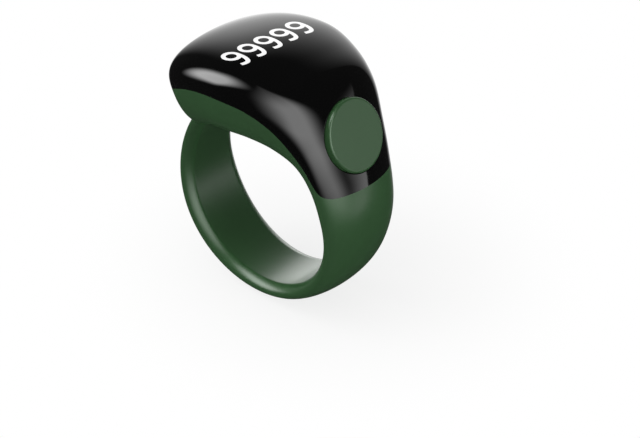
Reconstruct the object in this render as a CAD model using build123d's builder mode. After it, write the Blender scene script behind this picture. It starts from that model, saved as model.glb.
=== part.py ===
from build123d import *

import os
from math import atan2, ceil, cos, degrees, radians, sin, sqrt

os.makedirs("parts", exist_ok=True)

# A finger-worn digital counter, in millimetres. The origin is the centre of the finger bore,
# +Y runs along the bore, +X points to the button side and +Z up to the display.
# Angles are measured round the bore from +X towards +Z.

# Finger bore and the wall round it
BORE_R = 10.0
BORE_WALL = 1.0

# Outer form: angle round the ring, height above the bore and half width at its stations
END_ANGLE = 132.7
END_HEIGHT = 7.6
END_HALF = 6.9
BACK_ANGLE = 118.0
BACK_HEIGHT = 8.15
BACK_HALF = 8.45
CROWN_ANGLE = 92.0
CROWN_HEIGHT = 7.6
CROWN_HALF = 9.05
BROW_ANGLE = 77.0
BROW_HEIGHT = 7.1
BROW_HALF = 8.35
SHOULDER_ANGLE = 62.0
SHOULDER_HEIGHT = 6.55
SHOULDER_HALF = 7.2
FRONT_ANGLE = 47.0
FRONT_HEIGHT = 4.75
FRONT_HALF = 6.1
HIP_ANGLE = 32.0
HIP_HEIGHT = 3.65
HIP_HALF = 5.6
SIDE_ANGLE = 12.0
SIDE_HEIGHT = 3.25
SIDE_HALF = 5.25
FLANK_ANGLE = -15.0
FLANK_HEIGHT = 2.62
FLANK_HALF = 4.75
BAND_FIRST_ANGLE = -75.0
BAND_LAST_ANGLE = -150.0
BAND_HEIGHT = 2.02
BAND_HALF = 4.1
NECK_FIRST_ANGLE = -210.0
NECK_LAST_ANGLE = -240.0
NECK_HEIGHT = 1.9
NECK_HALF = 3.35

# Section shape: where the side is widest, how far the lower corner is drawn in, how full the arch is
BAND_RISE = 1.02
HEAD_RISE = 3.5
BAND_CORNER = 1.27
HEAD_CORNER = 1.7
BAND_SIDE_FULL = 0.46
HEAD_SIDE_FULL = 0.88
BAND_TOP_FULL = 0.68
HEAD_TOP_FULL = 0.985
BAND_FOOT = 0.12
HEAD_FOOT = 0.3
FOOT_DRAW = 1.5
FOOT_PULL = 0.75
SIDE_PULL = 0.35
RISE_FIRST = 12.0
RISE_SPAN = 62.0
FULL_FIRST = 30.0
FULL_SPAN = 70.0

# Rounded end of the head
CAP_SPAN = 15.0
CAP_MID = 0.513
CAP_TURNS = (84, 66, 48, 31, 15)

# Parting line between cover and body, seen along the bore
PART_HEIGHT = 3.9
PART_START_ANGLE = 155.0
PART_TURN_ANGLE = 63.0
PART_TURN_FILLET = 8.0
TONGUE_X = 10.6
TONGUE_Z = 5.35
TONGUE_FILLET = 2.0

# Wall of the head's hollow and the angle it ends at
SHELL_WALL = 1.2
CAVITY_END_ANGLE = 27.0

# Display stack, from the flat under the crown downwards
CROWN_COVER = 1.9
DISPLAY_X = -1.0
DISPLAY_LENGTH = 7.4
DISPLAY_MARGIN = 3.0
DISPLAY_GAP = 0.1
ADHESIVE_THICK = 0.1
PANEL_THICK = 1.0
FOAM_THICK = 0.3
FOAM_BORDER = 0.8
BOARD_THICK = 0.6
BOARD_LEFT = -6.4
BOARD_RIGHT = 4.4
BOARD_CLEARANCE = 0.35
CHIP_THICK = 0.45
CHIP_SPACING = 3.5
CONTROLLER_SIZE = 3.6
CHARGER_SIZE = 2.0
CRYSTAL_LENGTH = 1.6
CRYSTAL_WIDTH = 1.2
PASSIVE_COUNT = 5
PASSIVE_MARGIN = 1.45
PASSIVE_X = 0.85
PASSIVE_LENGTH = 1.0
PASSIVE_WIDTH = 0.5
PASSIVE_THICK = 0.35

# Battery on two cradle ribs
BATTERY_LIFT = 0.95
BATTERY_LEFT = -6.7
BATTERY_RIGHT = -1.6
BATTERY_MARGIN = 3.25
BATTERY_CORNER = 0.6
TAPE_THICK = 0.15
CHIP_CLEARANCE = 0.1
RIB_THICK = 0.8
RIB_SETBACK = 1.0

# Board posts
POST_R = 0.6
POST_PIN_R = 0.35
POST_MARGIN = 3.1
POST_LEFT = -4.6
POST_RIGHT = 0.6
HOLE_CLEARANCE = 0.05

# Vibration motor, lying along the bore
MOTOR_X = 2.8
MOTOR_R = 1.3
MOTOR_CAN_LENGTH = 5.0
MOTOR_CAP_LENGTH = 0.6
MOTOR_START = -4.2
BOOT_THICK = 0.15
SHAFT_R = 0.35
SHAFT_CLEARANCE = 0.03
SHAFT_DEPTH = 2.0
WEIGHT_GAP = 0.3
WEIGHT_LENGTH = 2.0
WEIGHT_R = 1.15
WEIGHT_HUB_R = 0.65
BOOT_SETBACK = 0.4
CAP_STEP = 0.1
CRADLE_SETBACK = 1.2
CRADLE_SIDE = 0.4
CRADLE_DROP = 0.3

# Charge contacts and holding magnets over the bore
PIN_X = 0.0
PIN_SPACING = 3.0
PIN_R = 0.4
PIN_HEAD_R = 0.8
PIN_HEAD_THICK = 0.4
PIN_RECESS = 0.05
MAGNET_LENGTH = 2.6
MAGNET_WIDTH = 1.4
MAGNET_HEIGHT = 1.2
MAGNET_SETBACK = 1.05
MAGNET_SINK = 0.2

# Button: its axis leans up from +X, its face stands just proud of the tongue
BUTTON_TILT = 23.0
BUTTON_ANGLE = 45.2
BUTTON_PROUD = 0.28
BUTTON_R = 3.8
BUTTON_GAP = 0.1
BUTTON_EDGE = 0.25
BUTTON_TRAVEL = 0.25
BUTTON_HOLLOW_R = 3.0
BUTTON_BOSS_R = 1.4
BUTTON_HOLLOW_DEPTH = 0.9
COVER_SEAT = 1.5
SEAL_THICK = 0.2
FLANGE_R = 4.25
FLANGE_THICK = 0.3
FLANGE_GAP = 0.2

# Switch under the button
SWITCH_GAP = 0.1
SWITCH_LENGTH = 3.4
SWITCH_WIDTH = 2.8
SWITCH_HEIGHT = 0.55
SWITCH_ROOF = 0.15
SWITCH_FLOOR = 0.08
PLUNGER_R = 0.6
PLUNGER_GAP = 0.06
DOME_R = 1.1
DOME_GAP = 0.05
DOME_THICK = 0.05
SWITCH_BOARD_THICK = 0.3
SWITCH_BOARD_HALF_Y = 2.6
SWITCH_BOARD_HALF_U = 1.8
PEDESTAL_HALF_Y = 1.6
PEDESTAL_HALF_U = 1.3

# Flexes and leads
FLEX_THICK = 0.12
FLEX_Y = 2.0
FLEX_BEND = 0.8
FLEX_LAP = 0.6
DISPLAY_FLEX_WIDTH = 3.2
SWITCH_FLEX_WIDTH = 2.0
CONNECTOR_GAP = 0.3
CONNECTOR_LENGTH = 3.6
CONNECTOR_WIDTH = 1.0
LEAD_R = 0.16
LEAD_REACH = 0.5
LEAD_BEND = 0.25
LEAD_SPACING = 2.2
LEAD_SPREAD = 0.5

FAR = 40.0
SECTION_STEP = 11.0

STATIONS = (
    (END_ANGLE, END_HEIGHT, END_HALF),
    (BACK_ANGLE, BACK_HEIGHT, BACK_HALF),
    (CROWN_ANGLE, CROWN_HEIGHT, CROWN_HALF),
    (BROW_ANGLE, BROW_HEIGHT, BROW_HALF),
    (SHOULDER_ANGLE, SHOULDER_HEIGHT, SHOULDER_HALF),
    (FRONT_ANGLE, FRONT_HEIGHT, FRONT_HALF),
    (HIP_ANGLE, HIP_HEIGHT, HIP_HALF),
    (SIDE_ANGLE, SIDE_HEIGHT, SIDE_HALF),
    (FLANK_ANGLE, FLANK_HEIGHT, FLANK_HALF),
    (BAND_FIRST_ANGLE, BAND_HEIGHT, BAND_HALF),
    (BAND_LAST_ANGLE, BAND_HEIGHT, BAND_HALF),
    (NECK_FIRST_ANGLE, NECK_HEIGHT, NECK_HALF),
    (NECK_LAST_ANGLE, NECK_HEIGHT, NECK_HALF),
)
HEAD_LAST = -90.0
TAIL_LAST = -238.0


def along(angle, column):
    """Height (column 1) or half width (column 2) of the form at an angle, smooth between stations."""
    rows = STATIONS

    def slope(i):
        low, high = max(i - 1, 0), min(i + 1, len(rows) - 1)
        return (rows[high][column] - rows[low][column]) / (rows[high][0] - rows[low][0])

    i = 0
    while i < len(rows) - 2 and angle < rows[i + 1][0]:
        i += 1
    span = rows[i + 1][0] - rows[i][0]
    t = (angle - rows[i][0]) / span
    return (
        (2 * t**3 - 3 * t**2 + 1) * rows[i][column]
        + (t**3 - 2 * t**2 + t) * span * slope(i)
        + (3 * t**2 - 2 * t**3) * rows[i + 1][column]
        + (t**3 - t**2) * span * slope(i + 1)
    )


def side_at(x, z):
    """Half width of the form at a place seen along the bore."""
    return along(degrees(atan2(z, x)), 2)


def head_share(angle, first, span):
    """0 on the band before the first angle, 1 on the head after the span, eased between."""
    t = min(1.0, max(0.0, (angle - first) / span))
    return t * t * (3 - 2 * t)


def mix(low, high, share):
    return low + (high - low) * share


def section(angle, inset=0.0, scale=1.0):
    """Cross section of the form in the radial plane at an angle: drawn-in foot, sides and one arch."""
    share = head_share(angle, RISE_FIRST, RISE_SPAN)
    rise = mix(BAND_RISE, HEAD_RISE, share)
    corner = mix(BAND_CORNER, HEAD_CORNER, share)
    depth = mix(BAND_FOOT, HEAD_FOOT, share)
    full = head_share(angle, FULL_FIRST, FULL_SPAN)
    full_height = along(angle, 1)
    height = full_height - inset
    half = along(angle, 2) - inset
    side = mix(BAND_SIDE_FULL, HEAD_SIDE_FULL, full) * (height - rise)
    top = mix(BAND_TOP_FULL, HEAD_TOP_FULL, full) * half
    # The arch is a curve of six poles that must reach the height at its middle
    peak = (32 * height - 12 * rise - 10 * side) / 20
    foot = half - FOOT_DRAW * corner
    middle = full_height * CAP_MID

    def at(y, z):
        return (y * scale, BORE_R + middle + (z - middle) * scale)

    a = radians(angle)
    with BuildSketch(Plane(origin=(0, 0, 0), x_dir=(0, 1, 0), z_dir=(sin(a), 0, -cos(a)))) as profile:
        with BuildLine():
            Line(at(-foot, -depth), at(foot, -depth))
            Bezier(
                at(foot, -depth),
                at(foot + FOOT_PULL * corner, -depth),
                at(half, SIDE_PULL * rise),
                at(half, rise),
            )
            Bezier(
                at(half, rise),
                at(half, rise + side),
                at(top, peak),
                at(-top, peak),
                at(-half, rise + side),
                at(-half, rise),
            )
            Bezier(
                at(-half, rise),
                at(-half, SIDE_PULL * rise),
                at(-foot - FOOT_PULL * corner, -depth),
                at(-foot, -depth),
            )
        make_face()
    return profile.sketch


def spaced(first, last):
    """Angles from first to last in even steps of about SECTION_STEP."""
    count = ceil(abs(first - last) / SECTION_STEP)
    return [first + (last - first) * i / count for i in range(count + 1)]


def head_sections(inset, last):
    """Sections from the rounded end of the head round to an angle, all inset by the same amount."""
    end = END_ANGLE - degrees(inset / (BORE_R + END_HEIGHT * CAP_MID))
    rounded = [
        section(end - CAP_SPAN * (1 - sin(radians(turn))), inset, cos(radians(turn)))
        for turn in CAP_TURNS
    ]
    return rounded + [section(angle, inset) for angle in spaced(end - CAP_SPAN, last)]


def polar(radius, angle):
    return (radius * cos(radians(angle)), radius * sin(radians(angle)))


def parting_region():
    """Everything outside the parting line, seen along the bore."""
    radius = BORE_R + PART_HEIGHT
    start = polar(radius, PART_START_ANGLE)
    turn = polar(radius, PART_TURN_ANGLE)
    with BuildSketch(Plane.XZ) as region:
        with BuildLine():
            CenterArc((0, 0), radius, PART_START_ANGLE, PART_TURN_ANGLE - PART_START_ANGLE)
            Polyline(
                turn,
                (TONGUE_X, TONGUE_Z),
                (FAR, TONGUE_Z),
                (FAR, FAR),
                (-FAR, FAR),
                (-FAR, start[1]),
                start,
            )
        make_face()
        corners = region.vertices()
        fillet(corners.sort_by_distance((TONGUE_X, 0, TONGUE_Z))[0], TONGUE_FILLET)
        fillet(region.vertices().sort_by_distance((turn[0], 0, turn[1]))[0], PART_TURN_FILLET)
    return region.sketch


def box_between(low, high, mode=Mode.ADD):
    """Box between two corners, added to the part being built."""
    size = [high[i] - low[i] for i in range(3)]
    with Locations(tuple((low[i] + high[i]) / 2 for i in range(3))):
        Box(*size, mode=mode)


def button_plane(depth):
    """Plane across the button's axis at a depth under its face: x along the bore, y up the shoulder."""
    return Plane(origin=BUTTON_FACE - BUTTON_AXIS * depth, x_dir=(0, 1, 0), z_dir=BUTTON_AXIS)


def button_disc(radius, deep, shallow, mode=Mode.ADD):
    """Round slice about the button's axis between two depths under its face."""
    with BuildSketch(button_plane(deep)) as disc:
        Circle(radius)
    extrude(disc.sketch, amount=deep - shallow, mode=mode)


def motor_disc(radius, first, last, mode=Mode.ADD):
    """Round slice about the motor's axis between two places along the bore."""
    with BuildSketch(Plane(origin=(MOTOR_X, first, MOTOR_Z), x_dir=(1, 0, 0), z_dir=(0, 1, 0))) as disc:
        Circle(radius)
    extrude(disc.sketch, amount=last - first, mode=mode)


def lead(points, bend):
    """Round wire through points, with its corners bent."""
    with BuildLine() as path:
        FilletPolyline(*points, radius=bend)
    with BuildSketch(Plane(origin=path.line @ 0, z_dir=path.line % 0)) as wire:
        Circle(LEAD_R)
    sweep(wire.sketch, path=path.line)


def finish(part, name):
    part.label = name
    export_step(part, f"parts/{name}.step")


# Heights of the stack under the crown and of the battery over the bore
CEILING_Z = BORE_R + CROWN_HEIGHT - CROWN_COVER
PANEL_TOP = CEILING_Z - ADHESIVE_THICK
PANEL_BOTTOM = PANEL_TOP - PANEL_THICK
BOARD_TOP = PANEL_BOTTOM - FOAM_THICK
BOARD_BOTTOM = BOARD_TOP - BOARD_THICK
CHIP_BOTTOM = BOARD_BOTTOM - CHIP_THICK
BATTERY_SEAT = BORE_R + BATTERY_LIFT
BATTERY_BOTTOM = BATTERY_SEAT + TAPE_THICK
BATTERY_TOP = CHIP_BOTTOM - CHIP_CLEARANCE
BATTERY_HALF = side_at(BATTERY_LEFT, BATTERY_BOTTOM) - BATTERY_MARGIN
MAGNET_Y = BATTERY_HALF - MAGNET_SETBACK
DISPLAY_HALF = CROWN_HALF - DISPLAY_MARGIN
POSTS = [
    (x, side * (side_at(x, BOARD_BOTTOM) - POST_MARGIN))
    for x in (POST_LEFT, POST_RIGHT)
    for side in (-1, 1)
]
PASSIVE_REACH = POSTS[-1][1] - POST_R - PASSIVE_MARGIN
DISPLAY_LEFT = DISPLAY_X - DISPLAY_LENGTH / 2
DISPLAY_RIGHT = DISPLAY_X + DISPLAY_LENGTH / 2
CHIP_X = (BATTERY_LEFT + BATTERY_RIGHT) / 2
CONNECTOR_LEFT = DISPLAY_RIGHT + CONNECTOR_GAP
CONNECTOR_RIGHT = CONNECTOR_LEFT + CONNECTOR_WIDTH
CONNECTOR_FIRST = -FLEX_Y - CONNECTOR_LENGTH / 2
CONNECTOR_LAST = CONNECTOR_FIRST + CONNECTOR_LENGTH
WALL_R = BORE_R + BORE_WALL
PIN_BASE = BORE_R + PIN_RECESS
MAGNET_BASE = WALL_R - MAGNET_SINK

# Motor along the bore, its boot resting on the bore wall
BOOT_R = MOTOR_R + BOOT_THICK
MOTOR_Z = sqrt((WALL_R + BOOT_R) ** 2 - MOTOR_X**2)
CAN_START = MOTOR_START + MOTOR_CAP_LENGTH
CAN_END = CAN_START + MOTOR_CAN_LENGTH
WEIGHT_START = CAN_END + WEIGHT_GAP
WEIGHT_END = WEIGHT_START + WEIGHT_LENGTH

# Button axis, and depths under the button's face
BUTTON_AXIS = Vector(cos(radians(BUTTON_TILT)), 0, sin(radians(BUTTON_TILT)))
BUTTON_UP = Vector(-sin(radians(BUTTON_TILT)), 0, cos(radians(BUTTON_TILT)))
ridge = polar(BORE_R + along(BUTTON_ANGLE, 1), BUTTON_ANGLE)
BUTTON_FACE = Vector(ridge[0], 0, ridge[1]) + BUTTON_AXIS * BUTTON_PROUD
FLANGE_TOP = COVER_SEAT + SEAL_THICK
FLANGE_BOTTOM = FLANGE_TOP + FLANGE_THICK
SWITCH_TOP = FLANGE_BOTTOM + BUTTON_TRAVEL + SWITCH_GAP
SWITCH_BOTTOM = SWITCH_TOP + SWITCH_HEIGHT
DOME_BASE = SWITCH_BOTTOM - SWITCH_FLOOR
CHAMBER_TOP = SWITCH_TOP + SWITCH_ROOF
DOME_TOP = CHAMBER_TOP + DOME_GAP
SWITCH_BOARD_BOTTOM = SWITCH_BOTTOM + SWITCH_BOARD_THICK

# The whole outer form with the bore through it
with BuildPart() as form:
    loft(head_sections(0.0, HEAD_LAST))
    loft([section(angle) for angle in spaced(HEAD_LAST, TAIL_LAST)])
    with BuildSketch(Plane.XZ):
        Circle(BORE_R)
    extrude(amount=FAR, both=True, mode=Mode.SUBTRACT)

# The hollow of the head: inset form, over the bore wall and under the flat of the display window
with BuildPart() as hollow:
    loft(head_sections(SHELL_WALL, CAVITY_END_ANGLE))
    with BuildSketch(Plane.XZ):
        Circle(WALL_R)
    extrude(amount=FAR, both=True, mode=Mode.SUBTRACT)
    box_between((-FAR, -FAR, CEILING_Z), (FAR, FAR, FAR), Mode.SUBTRACT)

# Ribs, posts and cradles that stand on the bore wall inside the head
with BuildPart() as fittings:
    for x in (BATTERY_LEFT + RIB_SETBACK, BATTERY_RIGHT - RIB_SETBACK):
        box_between(
            (x - RIB_THICK / 2, -BATTERY_HALF, 0),
            (x + RIB_THICK / 2, BATTERY_HALF, BATTERY_SEAT),
        )
    for y in (CAN_START + CRADLE_SETBACK, CAN_END - CRADLE_SETBACK):
        box_between(
            (MOTOR_X - BOOT_R - CRADLE_SIDE, y - RIB_THICK / 2, 0),
            (MOTOR_X + BOOT_R + CRADLE_SIDE, y + RIB_THICK / 2, MOTOR_Z - CRADLE_DROP),
        )
    motor_disc(BOOT_R, MOTOR_START, WEIGHT_END, Mode.SUBTRACT)
    for x, y in POSTS:
        with Locations((x, y, BOARD_BOTTOM / 2)):
            Cylinder(POST_R, BOARD_BOTTOM)
        with Locations((x, y, BOARD_BOTTOM + BOARD_THICK / 2)):
            Cylinder(POST_PIN_R, BOARD_THICK)
    with BuildSketch(button_plane(SWITCH_BOARD_BOTTOM)):
        Rectangle(2 * PEDESTAL_HALF_Y, 2 * PEDESTAL_HALF_U)
    extrude(amount=-BORE_R / 2)
    add(hollow.part, mode=Mode.INTERSECT)

# Charge pins, set flush in the bore wall and standing up to the board
with BuildPart() as charge_pins:
    for y in (-PIN_SPACING / 2, PIN_SPACING / 2):
        with BuildSketch(Plane.XY.offset(PIN_BASE)):
            with Locations((PIN_X, y)):
                Circle(PIN_HEAD_R)
        extrude(amount=PIN_HEAD_THICK)
        with BuildSketch(Plane.XY.offset(PIN_BASE)):
            with Locations((PIN_X, y)):
                Circle(PIN_R)
        extrude(amount=BOARD_BOTTOM - PIN_BASE)
finish(charge_pins.part, "charge_pins")

# Bar magnets that hold the charging lead, in shallow pockets of the bore wall
with BuildPart() as charge_magnets:
    for y in (-MAGNET_Y, MAGNET_Y):
        box_between(
            (PIN_X - MAGNET_WIDTH / 2, y - MAGNET_LENGTH / 2, MAGNET_BASE),
            (PIN_X + MAGNET_WIDTH / 2, y + MAGNET_LENGTH / 2, MAGNET_BASE + MAGNET_HEIGHT),
        )
finish(charge_magnets.part, "charge_magnets")

# Green moulded body: the band and the lower half of the head
with BuildPart() as ring_body:
    add(form.part)
    extrude(parting_region(), amount=FAR, both=True, mode=Mode.SUBTRACT)
    add(hollow.part, mode=Mode.SUBTRACT)
    add(fittings.part)
    with BuildSketch(Plane.XY):
        with Locations((PIN_X, -PIN_SPACING / 2), (PIN_X, PIN_SPACING / 2)):
            Circle(PIN_HEAD_R)
    extrude(amount=PIN_BASE + PIN_HEAD_THICK, mode=Mode.SUBTRACT)
    with BuildSketch(Plane.XY):
        with Locations((PIN_X, -PIN_SPACING / 2), (PIN_X, PIN_SPACING / 2)):
            Circle(PIN_R)
    extrude(amount=BOARD_BOTTOM, mode=Mode.SUBTRACT)
    add(charge_magnets.part, mode=Mode.SUBTRACT)
finish(ring_body.part, "ring_body")

# Gloss cover over the crown, with its tongue and the seat for the button
with BuildPart() as top_cover:
    add(form.part)
    extrude(parting_region(), amount=FAR, both=True, mode=Mode.INTERSECT)
    add(hollow.part, mode=Mode.SUBTRACT)
    button_disc(BUTTON_R + BUTTON_GAP, COVER_SEAT, -BUTTON_R, Mode.SUBTRACT)
    button_disc(FLANGE_R + FLANGE_GAP, SWITCH_TOP, COVER_SEAT, Mode.SUBTRACT)
    box_between(
        (DISPLAY_LEFT - DISPLAY_GAP, -DISPLAY_HALF - DISPLAY_GAP, BOARD_TOP),
        (DISPLAY_RIGHT + DISPLAY_GAP, DISPLAY_HALF + DISPLAY_GAP, CEILING_Z),
        Mode.SUBTRACT,
    )
    box_between(
        (DISPLAY_RIGHT, CONNECTOR_FIRST - DISPLAY_GAP, BOARD_TOP),
        (CONNECTOR_RIGHT + DISPLAY_GAP, CONNECTOR_LAST + DISPLAY_GAP, PANEL_BOTTOM + FLEX_THICK + DISPLAY_GAP),
        Mode.SUBTRACT,
    )
finish(top_cover.part, "top_cover")

# Display panel, bonded under the flat of the cover by a clear sheet, on a foam frame
with BuildPart() as display_adhesive:
    box_between((DISPLAY_LEFT, -DISPLAY_HALF, PANEL_TOP), (DISPLAY_RIGHT, DISPLAY_HALF, CEILING_Z))
finish(display_adhesive.part, "display_adhesive")

with BuildPart() as display_panel:
    box_between((DISPLAY_LEFT, -DISPLAY_HALF, PANEL_BOTTOM), (DISPLAY_RIGHT, DISPLAY_HALF, PANEL_TOP))
finish(display_panel.part, "display_panel")

with BuildPart() as display_foam:
    box_between((DISPLAY_LEFT, -DISPLAY_HALF, BOARD_TOP), (DISPLAY_RIGHT, DISPLAY_HALF, PANEL_BOTTOM))
    box_between(
        (DISPLAY_LEFT + FOAM_BORDER, FOAM_BORDER - DISPLAY_HALF, BOARD_TOP),
        (DISPLAY_RIGHT - FOAM_BORDER, DISPLAY_HALF - FOAM_BORDER, PANEL_BOTTOM),
        Mode.SUBTRACT,
    )
finish(display_foam.part, "display_foam")

# Main board, cut to the inside of the head, with holes for the four posts
with BuildPart() as board_slab:
    loft(head_sections(SHELL_WALL + BOARD_CLEARANCE, CAVITY_END_ANGLE))
    box_between((BOARD_LEFT, -FAR, BOARD_BOTTOM), (BOARD_RIGHT, FAR, BOARD_TOP), Mode.INTERSECT)

with BuildPart() as main_board:
    extrude(board_slab.faces().filter_by(Plane.XY).sort_by(Axis.Z)[-1], amount=-BOARD_THICK)
    with BuildSketch(Plane.XY.offset(BOARD_BOTTOM)):
        with Locations(*POSTS):
            Circle(POST_PIN_R + HOLE_CLEARANCE)
    extrude(amount=BOARD_THICK, mode=Mode.SUBTRACT)
finish(main_board.part, "main_board")


def board_chip(x, y, length, width, height):
    """Flat package under the board."""
    box_between(
        (x - length / 2, y - width / 2, BOARD_BOTTOM - height),
        (x + length / 2, y + width / 2, BOARD_BOTTOM),
    )


with BuildPart() as controller_chip:
    board_chip(CHIP_X, 0, CONTROLLER_SIZE, CONTROLLER_SIZE, CHIP_THICK)
finish(controller_chip.part, "controller_chip")

with BuildPart() as charger_chip:
    board_chip(CHIP_X, CHIP_SPACING, CHARGER_SIZE, CHARGER_SIZE, CHIP_THICK)
finish(charger_chip.part, "charger_chip")

with BuildPart() as crystal:
    board_chip(CHIP_X, -CHIP_SPACING, CRYSTAL_LENGTH, CRYSTAL_WIDTH, CHIP_THICK)
finish(crystal.part, "crystal")

with BuildPart() as board_passives:
    for i in range(PASSIVE_COUNT):
        y = PASSIVE_REACH * (2 * i / (PASSIVE_COUNT - 1) - 1)
        board_chip(PASSIVE_X, y, PASSIVE_WIDTH, PASSIVE_LENGTH, PASSIVE_THICK)
finish(board_passives.part, "board_passives")

# Connector on the board and the short flex from the display's edge to it
with BuildPart() as flex_connector:
    box_between(
        (CONNECTOR_LEFT, CONNECTOR_FIRST, BOARD_TOP),
        (CONNECTOR_RIGHT, CONNECTOR_LAST, PANEL_BOTTOM),
    )
finish(flex_connector.part, "flex_connector")

with BuildPart() as display_flex:
    box_between(
        (DISPLAY_RIGHT, -FLEX_Y - DISPLAY_FLEX_WIDTH / 2, PANEL_BOTTOM),
        (CONNECTOR_RIGHT, DISPLAY_FLEX_WIDTH / 2 - FLEX_Y, PANEL_BOTTOM + FLEX_THICK),
    )
finish(display_flex.part, "display_flex")

# Battery pouch on its tape over the cradle ribs, with two leads up to the board
with BuildPart() as battery_tape:
    box_between((BATTERY_LEFT, -BATTERY_HALF, BATTERY_SEAT), (BATTERY_RIGHT, BATTERY_HALF, BATTERY_BOTTOM))
    fillet(battery_tape.edges().filter_by(Axis.Z), BATTERY_CORNER)
finish(battery_tape.part, "battery_tape")

with BuildPart() as battery_cell:
    box_between((BATTERY_LEFT, -BATTERY_HALF, BATTERY_BOTTOM), (BATTERY_RIGHT, BATTERY_HALF, BATTERY_TOP))
    fillet(battery_cell.edges().filter_by(Axis.Z), BATTERY_CORNER)
finish(battery_cell.part, "battery_cell")

with BuildPart() as battery_leads:
    lead_z = (BATTERY_BOTTOM + BATTERY_TOP) / 2
    for y in (-LEAD_SPACING, LEAD_SPACING):
        lead(
            (
                (BATTERY_RIGHT, y, lead_z),
                (BATTERY_RIGHT + LEAD_REACH, y, lead_z),
                (BATTERY_RIGHT + LEAD_REACH, y, BOARD_BOTTOM),
            ),
            LEAD_BEND,
        )
finish(battery_leads.part, "battery_leads")

# Vibration motor: can in a rubber boot, end cap, shaft and eccentric weight
with BuildPart() as motor_can:
    motor_disc(MOTOR_R, CAN_START, CAN_END)
    motor_disc(SHAFT_R + SHAFT_CLEARANCE, CAN_END - SHAFT_DEPTH, CAN_END, Mode.SUBTRACT)
finish(motor_can.part, "motor_can")

with BuildPart() as motor_boot:
    motor_disc(BOOT_R, CAN_START + BOOT_SETBACK, CAN_END - BOOT_SETBACK)
    motor_disc(MOTOR_R, CAN_START, CAN_END, Mode.SUBTRACT)
finish(motor_boot.part, "motor_boot")

with BuildPart() as motor_endcap:
    motor_disc(MOTOR_R - CAP_STEP, MOTOR_START, CAN_START)
finish(motor_endcap.part, "motor_endcap")

with BuildPart() as motor_shaft:
    motor_disc(SHAFT_R, CAN_END - SHAFT_DEPTH + SHAFT_CLEARANCE, WEIGHT_END)
finish(motor_shaft.part, "motor_shaft")

with BuildPart() as motor_weight:
    motor_disc(WEIGHT_R, WEIGHT_START, WEIGHT_END)
    box_between(
        (MOTOR_X - FAR, WEIGHT_START, MOTOR_Z),
        (MOTOR_X + FAR, WEIGHT_END, MOTOR_Z + FAR),
        Mode.SUBTRACT,
    )
    motor_disc(WEIGHT_HUB_R, WEIGHT_START, WEIGHT_END)
    motor_disc(SHAFT_R, WEIGHT_START, WEIGHT_END, Mode.SUBTRACT)
finish(motor_weight.part, "motor_weight")

with BuildPart() as motor_leads:
    for x in (MOTOR_X - LEAD_SPREAD, MOTOR_X + LEAD_SPREAD):
        lead(
            (
                (x, MOTOR_START, MOTOR_Z),
                (x, MOTOR_START - LEAD_REACH, MOTOR_Z),
                (x, MOTOR_START - LEAD_REACH, BOARD_BOTTOM),
            ),
            LEAD_BEND,
        )
finish(motor_leads.part, "motor_leads")

# Button cap with its flange under the cover, and the seal ring between them
with BuildPart() as button_cap:
    button_disc(BUTTON_R, FLANGE_TOP, 0)
    rims = button_cap.edges().filter_by(GeomType.CIRCLE)
    fillet(rims.sort_by_distance(BUTTON_FACE + BUTTON_AXIS)[0], BUTTON_EDGE)
    button_disc(FLANGE_R, FLANGE_BOTTOM, FLANGE_TOP)
    with BuildSketch(button_plane(FLANGE_BOTTOM)):
        Circle(BUTTON_HOLLOW_R)
        Circle(BUTTON_BOSS_R, mode=Mode.SUBTRACT)
    extrude(amount=BUTTON_HOLLOW_DEPTH, mode=Mode.SUBTRACT)
finish(button_cap.part, "button_cap")

with BuildPart() as button_seal:
    button_disc(FLANGE_R, FLANGE_TOP, COVER_SEAT)
    button_disc(BUTTON_R + BUTTON_GAP, FLANGE_TOP, COVER_SEAT, Mode.SUBTRACT)
finish(button_seal.part, "button_seal")

# Switch: moulded body with a snap dome and plunger, on its own small board
with BuildPart() as switch_board:
    with BuildSketch(button_plane(SWITCH_BOARD_BOTTOM)):
        Rectangle(2 * SWITCH_BOARD_HALF_Y, 2 * SWITCH_BOARD_HALF_U)
    extrude(amount=SWITCH_BOARD_THICK)
finish(switch_board.part, "switch_board")

with BuildPart() as switch_body:
    with BuildSketch(button_plane(SWITCH_BOTTOM)):
        Rectangle(SWITCH_LENGTH, SWITCH_WIDTH)
    extrude(amount=SWITCH_HEIGHT)
    button_disc(DOME_R + DOME_GAP, DOME_BASE, CHAMBER_TOP, Mode.SUBTRACT)
    button_disc(PLUNGER_R + PLUNGER_GAP, CHAMBER_TOP, SWITCH_TOP, Mode.SUBTRACT)
finish(switch_body.part, "switch_body")

with BuildPart() as switch_dome:
    dome_height = DOME_BASE - DOME_TOP
    dome_radius = (DOME_R**2 + dome_height**2) / (2 * dome_height)
    dome_origin = BUTTON_FACE - BUTTON_AXIS * DOME_BASE
    inner_radius = dome_radius - DOME_THICK
    inner_foot = sqrt(inner_radius**2 - (dome_radius - dome_height) ** 2)
    with BuildSketch(Plane(origin=dome_origin, x_dir=(0, 1, 0), z_dir=-BUTTON_UP)):
        with BuildLine():
            Line((inner_foot, 0), (DOME_R, 0))
            RadiusArc((DOME_R, 0), (0, dome_height), -dome_radius)
            Line((0, dome_height), (0, dome_height - DOME_THICK))
            RadiusArc((0, dome_height - DOME_THICK), (inner_foot, 0), inner_radius)
        make_face()
    revolve(axis=Axis(dome_origin, BUTTON_AXIS))
finish(switch_dome.part, "switch_dome")

with BuildPart() as switch_plunger:
    button_disc(PLUNGER_R, DOME_TOP, FLANGE_BOTTOM)
finish(switch_plunger.part, "switch_plunger")

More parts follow.
